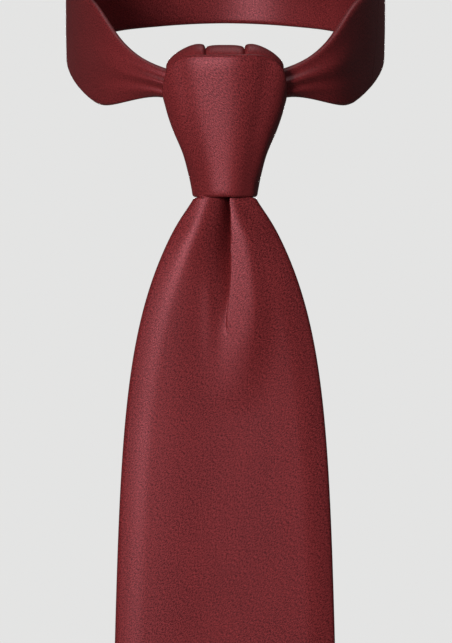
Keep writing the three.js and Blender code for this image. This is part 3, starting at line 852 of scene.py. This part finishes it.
def keeper_thick(s):
    return mix(KEEPER_END, KEEPER_THICK, 1 - smooth(abs(s), KEEPER_REACH - 1.0, KEEPER_REACH + 0.2))


def build_keeper():
    stations = spaced(-KEEPER_REACH, KEEPER_REACH, 0.8)
    behind = Vector((0, KEEPER_HIGH.y + CLEAR, KEEPER_MIDDLE))
    bm = folded_strip(stations, lambda s: KEEPER_HALF, keeper_thick, keeper_point, behind)
    keeper = finished(bm, "keeper_loop_satin", satin)
    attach(keeper, "front_blade")
    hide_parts("keeper_loop")


def build_keeper_stitches():
    for name, node, side in (
        ("keeper_stitches_left", "keeper_left_stitch", -1),
        ("keeper_stitches_right", "keeper_right_stitch", 1),
    ):
        x = side * (KEEPER_REACH - 2.4)
        ends = []
        for z in parts(-KEEPER_HALF + 1.8, KEEPER_HALF - 1.8, 5):
            ends.append((keeper_point(z - 0.8, x, -0.08), keeper_point(z + 0.8, x + side * 0.2, -0.08)))
        sewn = stitches(name, ends)
        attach(sewn, "front_blade")
        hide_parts(node)


build_keeper()
build_keeper_stitches()

# ---- Tail ---------------------------------------------------------------------------------

STRAND_HALF = 6.3  # half width of the tail's strip in the mouth of the knot
STRAND_BACK = 3.5  # how much further back its front lies there than lower down


def tail_half(depth):
    return mix(STRAND_HALF, TAIL_ROOT + TAIL_TAPER * max(depth, 0), smooth(depth, 2, 46))


def tail_thick(depth):
    return mix(2.2, TAIL_THICK, smooth(depth, 6, 90))


def tail_front(depth):
    return TAIL_FRONT + STRAND_BACK * (1 - smooth(depth, 14, 96))


def tail_fold(x, depth, inside=0.0):
    """Two soft pleats run down from the knot. Front and back take them alike, whatever inside is."""
    fade = 1 - smooth(depth, 8, 70)
    half = tail_half(depth)
    return fade * (bell(x - 0.1 * half, 0.22 * half) - 0.6 * bell(x + 0.5 * half, 0.3 * half))


tail = Pocket(
    half=tail_half,
    spread=lambda u, depth, half: u * half,
    lip=lambda x, depth: 0,
    length=TAIL_LENGTH,
    thick=TAIL_THICK,
    front=tail_front,
    fold=tail_fold,
    crown=lambda x, half: 0.7 * (abs(x) / half) ** 5,
    hem=TAIL_HEM,
    dip=TAIL_DIP,
    tack=TAIL_TACK,
)
TAIL_CORNER = TAIL_LENGTH - tail_half(TAIL_LENGTH) - 0.4
TIPPING_FAR = 2.25  # how far behind the tail's front face its lining ends


def slid(piece):
    """Cloth that is drawn up through the keeper, with its placing baked into its mesh."""
    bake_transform(piece)
    return piece


def tail_point(u, s, n):
    """On the tail's upper stretch: u across, s down and n behind its front face."""
    inward = n + tail.crown(u, tail_half(s)) * (1 - n / tail_thick(s))
    return Vector((u, tail_front(s) + tail_fold(u, s) + inward, MOUTH - s))


def build_upper_tail():
    ahead = Vector((0, TAIL_FRONT - CLEAR, MOUTH - 60))
    stations = spaced(-6, TAIL_SPLIT, 2.0)
    upper_cut = (tail_half, tail_thick, tail_point, ahead)
    bm = folded_strip(stations, *upper_cut, face=28)
    upper = finished(bm, "tail_upper_satin", satin)
    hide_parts("tail_upper_shell")
    bent(upper)
    bm = strip_lining(stations[1:-1], *upper_cut)
    upper_wool = finished(bm, "tail_upper_wool", wool)
    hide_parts("tail_upper_interlining")
    bent(upper_wool)


def build_lower_tail():
    depths = spaced(TAIL_SPLIT, TAIL_CORNER, 3.0)
    bm = pocket_shell(tail, 48, depths)
    shell = finished(bm, "tail_satin", satin)
    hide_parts("tail_shell", "tail_feed_shell")
    slid(shell)
    bm = pocket_lining(tail, spaced(TAIL_SPLIT + 1, TAIL_CORNER - 2, 6), 2.2, 0.7, 1.7)
    lining = finished(bm, "tail_wool", wool)
    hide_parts("tail_interlining", "tail_feed_interlining")
    slid(lining)


def build_tail_tipping():
    top = TAIL_LENGTH - TAIL_TACK - 6
    bm = pocket_lining(tail, spaced(top, TAIL_CORNER - 2, 1.5), 3.0, 1.95, TIPPING_FAR, columns=40)
    tipping = finished(bm, "tail_tipping_lining", tipping_cloth)
    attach(tipping, "tail")
    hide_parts("tail_tipping")


def build_tail_seam():
    tack = TAIL_LENGTH - TAIL_TACK
    depths = spaced(TAIL_SPLIT + 8, tack - 6, STITCH_STEP)
    slip = seam_stitches("tail_slip_stitches", tail, depths, 0.7, (0.8, 1.0))
    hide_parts("tail_slip_stitch")
    slid(slip)
    bar = bar_tack("tail_tack", lambda x, z: tail.back(x, tack + z, 0.12), 7.5, 2.0)
    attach(bar, "tail")
    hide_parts("tail_bar_tack")


def build_label():
    """A blank care label of woven tape with softened edges."""
    columns, rows = 20, 14
    width, height = LABEL_HIGH.x - LABEL_LOW.x, LABEL_HIGH.z - LABEL_LOW.z
    middle = (LABEL_LOW + LABEL_HIGH) / 2
    face = tail_front(200) + TIPPING_FAR + 0.1

    def place(i, j):
        x = mix(-width / 2, width / 2, i / columns)
        z = mix(-height / 2, height / 2, j / rows)
        bow = 0.12 * math.cos(x * 0.5) * math.cos(z * 0.6)
        return Vector((x, face + bow, middle.z + z)), x, z

    bm, _ = grid_cloth(columns, rows, place)
    face_out(bm, Vector((0, face + 50, middle.z)))
    thicken(bm, -0.35)  # outwards, because its near side lies on the lining
    rim = [e for e in bm.edges if e.calc_face_angle(0) > 1.0]
    bmesh.ops.bevel(bm, geom=rim, offset=0.12, segments=2, profile=0.5, affect="EDGES", material=-1)
    label = finished(bm, "care_label_tape", label_tape)
    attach(label, "tail")
    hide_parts("care_label")


build_upper_tail()
build_lower_tail()
build_tail_tipping()
build_tail_seam()
build_label()

# ---- Knot ---------------------------------------------------------------------------------

# The knot's outline as (height, half width) and (height, share of its half depth), and the height
# of its top by the angle from the middle of the front.
KNOT_SIDES = [(-49, 12.0), (-46, 12.2), (-42, 12.8), (-37, 14.2), (-30, 16.7), (-23, 19.3),
              (-16, 21.9), (-8, 24.0), (3, 25.6)]
KNOT_DEPTHS = [(-49, 0.86), (-38, 0.92), (-20, 1.06), (-2, 1.22)]
KNOT_TOPS = [(0, 2.6), (34, 2.3), (56, -1.5), (75, -9.0), (90, -12.4), (106, -12),
             (135, -7.5), (180, -4.5)]
KNOT_PLAN = 2.25  # roundness of its plan, 2 being an ellipse
KNOT_LEAN = 0.08  # how far the front turns, its right side forward
KNOT_SIDE_TOP = -15
OVERLAP = 16  # degrees by which the band's ends lie over each other behind
SATIN_RUN = 0.38  # millimetres of cloth for each degree round the knot
WRAP_CUT = 24  # half width of the cloth that is gathered into the wrap


def knot_half(z):
    return eased(KNOT_SIDES, z)


def knot_depth(z):
    """Half depth of the knot, which draws in a little towards its mouth."""
    return KNOT_DEPTH * eased(KNOT_DEPTHS, z)


def rounded(value):
    """A sine or cosine, squared off for the knot's plan."""
    return math.copysign(abs(value) ** (2 / KNOT_PLAN), value)


def knot_surface(degrees, z, inward):
    """A point inward of the knot's outside, by the angle from the middle of its front."""
    angle = math.radians(degrees)
    x = (knot_half(z) - inward) * rounded(math.sin(angle))
    y = KNOT_MID - (knot_depth(z) - inward) * rounded(math.cos(angle))
    return Vector((x, y, z))


def band_top(degrees):
    return eased(KNOT_TOPS, abs((degrees + 180) % 360 - 180))


def band_bottom(degrees):
    """The mouth's edge hangs a little lower in the middle of the front."""
    return MOUTH + 0.35 - 0.35 * math.cos(math.radians(degrees))


def band_half(degrees):
    return (band_top(degrees) - band_bottom(degrees)) / 2


def wrap_point(u, s, n):
    """On the band round the knot: s in degrees from the middle of the front."""
    z = (band_top(s) + band_bottom(s)) / 2 + u
    lift = (WRAP_THICK + 0.15) * smooth(s, 180 - OVERLAP * 2.6, 180 - OVERLAP * 0.6)
    x = knot_surface(s, z, 0).x
    front = 1 - smooth(abs(s), 60, 95)
    right_fold = 0.75 * front * bell(x - mix(8.0, 13.0, (z - MOUTH) / 30), 3.4)
    left_fold = 0.35 * front * bell(x + mix(9.0, 14.0, (z - MOUTH) / 30), 3.4)
    creases = 0.22 * math.sin(z * 0.34 + s * 0.07) * smooth(abs(s), 50, 90)
    place = knot_surface(s, z, n - lift + creases + right_fold + left_fold)
    place.y -= KNOT_LEAN * x * front
    place.y -= 0.9 * bell(x - 4, 9) * front  # a full middle
    return place


def wrap_thick(degrees):
    return WRAP_THICK


def build_knot_wrap():
    """The visible band: its cloth lies on its side, its length round the knot."""
    ahead = Vector((0, KNOT_LOW.y - CLEAR, MOUTH + 20))
    stations = parts(-180 - OVERLAP, 180 + OVERLAP, 150)
    shape = (stations, band_half, wrap_thick, wrap_point, ahead)
    bm = folded_strip(*shape, cut_half=WRAP_CUT, face=30)
    flat = bm.verts.layers.float_vector["cloth"]
    for v in bm.verts:
        across, along = v[flat].x, v[flat].y
        v[flat] = (along * SATIN_RUN, across, 0)
    wrap = finished(bm, "knot_wrap_satin", satin)
    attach(wrap, "knot")
    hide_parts("knot_front_wrap", "knot_back_wrap")


def build_wrap_wool():
    for name, node, low, high in (
        ("knot_front_wool", "knot_front_interlining", -178 - OVERLAP, 84),
        ("knot_back_wool", "knot_back_interlining", 90, 178 + OVERLAP),
    ):
        stations = parts(low, high, 60)
        away = knot_surface(stations[30], MOUTH + 20, -CLEAR)
        shape = (stations, band_half, wrap_thick, wrap_point, away)
        bm = strip_lining(*shape, margin=2.0, share=(0.36, 0.64))
        lining = finished(bm, name, wool)
        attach(lining, "knot")
        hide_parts(node)


SADDLE_THICK = 2.0
SADDLE_BEND = 7.0  # radius of its turn over the top
INSIDE = WRAP_THICK + 0.35  # from the knot's outside to what lies in it
SADDLE_RUN = 44  # millimetres of cloth from the crest to an end
BRIM = -2  # height of the rim that the passes go over
BRIM_HALF = knot_half(BRIM) - INSIDE


def drawn_in(x, z):
    """The inside of the knot narrows towards the mouth, and what lies in it narrows with it."""
    return x * (knot_half(min(z, BRIM)) - INSIDE) / BRIM_HALF


def plan_depth(share):
    """The knot's half depth at a share of its half width."""
    return max(1 - abs(share) ** KNOT_PLAN, 0.02) ** (1 / KNOT_PLAN)


def saddle_point(x, s, n, crest, front_end, back_end):
    """On a strip over the top of the knot: s runs from -1 in front, over the crest, to 1 behind."""
    reach = (KNOT_DEPTH - INSIDE - n) * plan_depth(x / (BRIM_HALF + 0.6))
    top = crest - n
    turn = min(max(s / 0.5, -1), 1)
    angle = turn * math.pi / 2
    z = top - SADDLE_BEND * (1 - math.cos(angle))
    if s < -0.5:
        z = mix(z, front_end, (-s - 0.5) / 0.5)
    if s > 0.5:
        z = mix(z, back_end, (s - 0.5) / 0.5)
    return Vector((drawn_in(x, z), KNOT_MID + reach * math.sin(angle), z))


def build_saddle(name, node, middle, half, crest, front_end, back_end, flat):
    """A pass of the strip over the knot's top, its ends down inside the knot."""

    def point(u, s, n):
        x = middle + u
        high = crest(x) - 0.9 * (u / half) ** 4
        return saddle_point(x, s, n, high, front_end, back_end)

    stations = parts(-1, 1, 56)
    above = Vector((middle, KNOT_MID, 90))
    bm = folded_strip(stations, lambda s: half, lambda s: SADDLE_THICK, point, above, face=18)
    scale_along(bm, SADDLE_RUN)
    piece = finished(bm, name, satin)
    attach(piece, "knot")
    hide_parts(node)


def scale_along(bm, factor):
    """Turns a share along a strip into millimetres of its cloth."""
    flat = bm.verts.layers.float_vector["cloth"]
    for v in bm.verts:
        v[flat] = (v[flat].x, v[flat].y * factor, 0)


def shoulder_crest(x):
    return mix(SHOULDER_TOP, 1.4, ((abs(x) - 7) / 14.5) ** 2)


def middle_crest(x):
    return SHOULDER_TOP - 0.8


def build_knot_shoulders():
    outer, inner = 21.6, 7.2
    for name, node, side in (
        ("knot_left_shoulder_satin", "knot_left_shoulder", -1),
        ("knot_right_shoulder_satin", "knot_right_shoulder", 1),
    ):
        middle = side * (outer + inner) / 2
        half = (outer - inner) / 2
        build_saddle(name, node, middle, half, shoulder_crest, -24, -24, flat=(0.0295, 0.07))


def build_middle_pass():
    ends = (MOUTH + 14, -18)
    build_saddle("knot_middle_satin", "knot_middle_pass", 0, 7.3, middle_crest, *ends, flat=(0.03, 0.085))


def build_tail_pass():
    """The tail's strip where it goes down through the knot."""
    low, high = box_mm("knot_tail_pass")
    stations = spaced(low.z, high.z, 2.0)
    half = (high.x - low.x) / 2
    thick = high.y - low.y

    def point(u, s, n):
        return Vector((u, low.y + n, s))

    ahead = Vector((0, low.y - 30, low.z))
    bm = folded_strip(stations, lambda s: half, lambda s: thick, point, ahead, face=12)
    piece = finished(bm, "knot_tail_satin", satin)
    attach(piece, "knot")
    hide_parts("knot_tail_pass")


build_knot_wrap()
build_wrap_wool()
build_knot_shoulders()
build_middle_pass()
build_tail_pass()

# ---- Neck loop ----------------------------------------------------------------------------

NECK_HALF_X = 60
NECK_HALF_Y = 68
NECK_RISE = 46  # height of the nape above the knot's top
BAND_HALF = 17.5
ARM_HALF = 5.2  # half width of the strip where it goes into the knot
ARM_LENGTH = 78  # from there to the slanting join, along the strip
JOIN_SLANT = 0.8  # run along the strip for each millimetre across it
JOIN_GAP = 0.25


def loop_corners(side):
    """One side of the strip's middle line, from inside the knot to the nape."""
    corners = [(8, KNOT_MID + 1.5, KNOT_SIDE_TOP + 3.4), (20.8, KNOT_MID + 1.5, KNOT_SIDE_TOP + 8.0)]
    corners += [(40.2, 0.82 * KNOT_MID, 0.02 * NECK_RISE), (55.2, 0.45 * KNOT_MID, 0.3 * NECK_RISE)]
    for degrees, up in ((0, 0.6), (35, 0.85), (63, 0.96)):
        angle = math.radians(degrees)
        corners.append((NECK_HALF_X * math.cos(angle), NECK_HALF_Y * math.sin(angle), up * NECK_RISE))
    return [Vector((side * x, y, z)) for x, y, z in corners]


def smooth_path(corners, steps=24):
    """Close points on a smooth curve through the corners."""
    points = []
    for k in range(len(corners) - 1):
        before, a = corners[max(k - 1, 0)], corners[k]
        b, after = corners[k + 1], corners[min(k + 2, len(corners) - 1)]
        for step in range(steps):
            u = step / steps
            points.append(
                a
                + 0.5 * u * (b - before)
                + u * u * (before - 2.5 * a + 2 * b - 0.5 * after)
                + u**3 * (-0.5 * before + 1.5 * a - 1.5 * b + 0.5 * after)
            )
    return points + [corners[-1]]


nape = Vector((0, NECK_HALF_Y, NECK_RISE))
LOOP_PATH = smooth_path(loop_corners(-1) + [nape] + loop_corners(1)[::-1])
LOOP_RUNS = [0.0]
for a, b in zip(LOOP_PATH, LOOP_PATH[1:]):
    LOOP_RUNS.append(LOOP_RUNS[-1] + (b - a).length)
LOOP_LENGTH = LOOP_RUNS[-1]


def loop_frame(s):
    """The middle line's point, and the strip's upward and outward directions there."""
    s = min(max(s, 0.0), LOOP_LENGTH - 1e-4)
    k = bisect.bisect_right(LOOP_RUNS, s) - 1
    share = (s - LOOP_RUNS[k]) / (LOOP_RUNS[k + 1] - LOOP_RUNS[k])
    point = LOOP_PATH[k].lerp(LOOP_PATH[k + 1], share)
    ahead, behind = LOOP_PATH[min(k + 3, len(LOOP_PATH) - 1)], LOOP_PATH[max(k - 2, 0)]
    tangent = (ahead - behind).normalized()
    up = (Vector((0, 0, 1)) - tangent * tangent.z).normalized()
    return point, up, up.cross(tangent).normalized()


def loop_half(s):
    """Half width of the strip, gathered towards the knot."""
    from_end = min(s, LOOP_LENGTH - s)
    return mix(ARM_HALF, BAND_HALF, smooth(from_end, 14, 58))


def loop_point(u, s, n):
    """On the strip. It slants with u at a join, and is cupped and pleated near the knot."""
    point, up, out = loop_frame(s)
    from_end = min(s, LOOP_LENGTH - s)
    half = loop_half(s)
    gathered = 1 - smooth(from_end, 18, 62)
    share = u / half
    cup = 2.6 * gathered * (1 - share**2) + 0.5 * (1 - share**2)
    pleat = 0.7 * gathered * math.cos(share * 7.0) * (1 - share**4)
    wave = 0.35 * math.sin(s * 0.045 + 0.6) * (1 - gathered)
    return point + up * u + out * (BAND_THICK / 2 - n + cup + pleat + wave)


def build_loop_piece(name, nodes, start, end, slants, wool_name):
    """A length of the strip, from start to end, with its interlining. slants are those of its ends."""
    count = round((end - start) / 2.4)
    stations = parts(0, 1, count)

    def along(u, share):
        reach = u * BAND_HALF / loop_half(mix(start, end, share))
        return mix(start + slants[0] * reach, end + slants[1] * reach, share)

    def point(u, share, n):
        return loop_point(u, along(u, share), n)

    def half(share):
        return loop_half(mix(start, end, share))

    middle, _, out = loop_frame((start + end) / 2)
    away = middle + out * 80
    bm = folded_strip(stations, half, lambda s: BAND_THICK, point, away, cut_half=BAND_HALF, face=26)
    scale_along(bm, end - start)
    piece = finished(bm, name, satin)
    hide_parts(nodes[0])
    inset = parts(0.01, 0.99, count)
    bm = strip_lining(inset, half, lambda s: BAND_THICK, point, away, margin=1.9, share=(0.3, 0.65))
    scale_along(bm, end - start)
    lining = finished(bm, wool_name, wool)
    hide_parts(nodes[1])
    return piece, lining


LEFT_JOIN, RIGHT_JOIN = ARM_LENGTH, LOOP_LENGTH - ARM_LENGTH


def build_neck_loop():
    gap = JOIN_GAP / 2
    lengths = (
        ("left_arm", 0.5, LEFT_JOIN - gap, (0, JOIN_SLANT), 0.062),
        ("neck_band", LEFT_JOIN + gap, RIGHT_JOIN - gap, (JOIN_SLANT, -JOIN_SLANT), 0.07),
        ("right_arm", RIGHT_JOIN + gap, LOOP_LENGTH - 0.5, (-JOIN_SLANT, 0), 0.062),
    )
    for node, start, end, slants, width in lengths:
        nodes = (f"{node}_shell", f"{node}_interlining")
        made = build_loop_piece(f"{node}_satin", nodes, start, end, slants, f"{node}_wool")
        for piece in made:
            if node == "neck_band":
                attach(piece, "neck_loop")
            else:
                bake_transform(piece)


def build_joins():
    """The stitches that hold the strip's three lengths together."""
    for name, node, s, slant in (
        ("left_join_stitches", "left_join_stitching", LEFT_JOIN, JOIN_SLANT),
        ("right_join_stitches", "right_join_stitching", RIGHT_JOIN, -JOIN_SLANT),
    ):
        ends = []
        for u in parts(-BAND_HALF + 2.4, BAND_HALF - 2.4, 10):
            across = s + slant * u
            behind = BAND_THICK + 0.06
            ends.append((loop_point(u, across - 0.9, behind), loop_point(u + 0.5, across + 0.9, behind)))
        sewn = stitches(name, ends)
        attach(sewn, "neck_loop")
        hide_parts(node)


build_neck_loop()
build_joins()

# ---- Camera and light ---------------------------------------------------------------------

VIEW_HIGH = 0.2338  # metres of the tie that the view shows from top to bottom
CAMERA_AWAY = 1.2
CAMERA_AT = Vector((0.0004, 0, MOUTH * MM - 0.0453))
SENSOR = 36
FLOOR_DROP = 25  # how far the floor lies below the tip
FLOOR_RADIUS = 2400


def add_camera():
    data = bpy.data.cameras.new("front_camera")
    data.sensor_width = SENSOR
    data.lens = SENSOR * CAMERA_AWAY / VIEW_HIGH
    data.clip_start, data.clip_end = 0.05, 20
    camera = bpy.data.objects.new("front_camera", data)
    camera.location = CAMERA_AT + Vector((0, KNOT_LOW.y * MM - CAMERA_AWAY, 0))
    camera.rotation_euler = (math.radians(90), 0, 0)
    bpy.context.scene.view_settings.view_transform = "Standard"
    bpy.context.scene.collection.objects.link(camera)
    bpy.context.scene.camera = camera


def add_light(name, place, aim, size, power, colour):
    data = bpy.data.lights.new(name, "AREA")
    data.shape = "DISK"
    data.size, data.energy, data.color = size, power, colour
    light = bpy.data.objects.new(name, data)
    light.location = place
    light.rotation_euler = (Vector(aim) - Vector(place)).to_track_quat("-Z", "Y").to_euler()
    bpy.context.scene.collection.objects.link(light)


def add_room():
    """An even pale room. Only the camera sees it bright, so that it adds little light."""
    world = bpy.data.worlds.new("studio")
    world.use_nodes = True
    nodes, links = world.node_tree.nodes, world.node_tree.links
    room = nodes["Background"]
    room.inputs["Color"].default_value = (1, 1, 1, 1)
    room.inputs["Strength"].default_value = 0.055
    seen = nodes.new("ShaderNodeBackground")
    seen.inputs["Color"].default_value = (0.775, 0.775, 0.77, 1)
    pick, path = nodes.new("ShaderNodeMixShader"), nodes.new("ShaderNodeLightPath")
    links.new(path.outputs["Is Camera Ray"], pick.inputs["Fac"])
    links.new(room.outputs[0], pick.inputs[1])
    links.new(seen.outputs[0], pick.inputs[2])
    links.new(pick.outputs[0], nodes["World Output"].inputs["Surface"])
    bpy.context.scene.world = world


def add_lights():
    middle = (0, -0.08, -0.12)
    add_light("key", (-0.75, -1.65, 0.22), middle, 0.5, 28, (1.0, 0.98, 0.96))
    add_light("fill", (1.5, -1.6, 0.2), middle, 1.4, 1.9, (1.0, 0.98, 0.98))
    add_light("back", (0, 3.2, 0.4), middle, 0.9, 56, (1.0, 1.0, 1.0))
    add_light("top", (0.2, 0.4, 2.0), middle, 1.2, 7, (1.0, 1.0, 1.0))


def floor_paint():
    """A dark floor that only the camera sees pale, so that it throws no light on the tie."""
    paint = bpy.data.materials.new("pale_floor")
    paint.use_nodes = True
    shader = paint.node_tree.nodes["Principled BSDF"]
    shader.inputs["Base Color"].default_value = (0.14, 0.14, 0.135, 1)
    shader.inputs["Roughness"].default_value = 0.9
    shader.inputs["Specular IOR Level"].default_value = 0.1
    shader.inputs["Emission Color"].default_value = (0.62, 0.62, 0.61, 1)
    path = paint.node_tree.nodes.new("ShaderNodeLightPath")
    paint.node_tree.links.new(path.outputs["Is Camera Ray"], shader.inputs["Emission Strength"])
    return paint


def add_floor():
    bm = bmesh.new()
    bmesh.ops.create_circle(bm, cap_ends=True, segments=96, radius=FLOOR_RADIUS)
    bmesh.ops.translate(bm, vec=(0, 0, BLADE_LOW.z - FLOOR_DROP), verts=bm.verts[:])
    mesh = bpy.data.meshes.new("floor")
    bmesh.ops.scale(bm, vec=(MM, MM, MM), verts=bm.verts[:])
    bm.to_mesh(mesh)
    bm.free()
    mesh.materials.append(floor_paint())
    floor = bpy.data.objects.new("floor", mesh)
    bpy.context.scene.collection.objects.link(floor)


add_camera()
add_room()
add_lights()
add_floor()
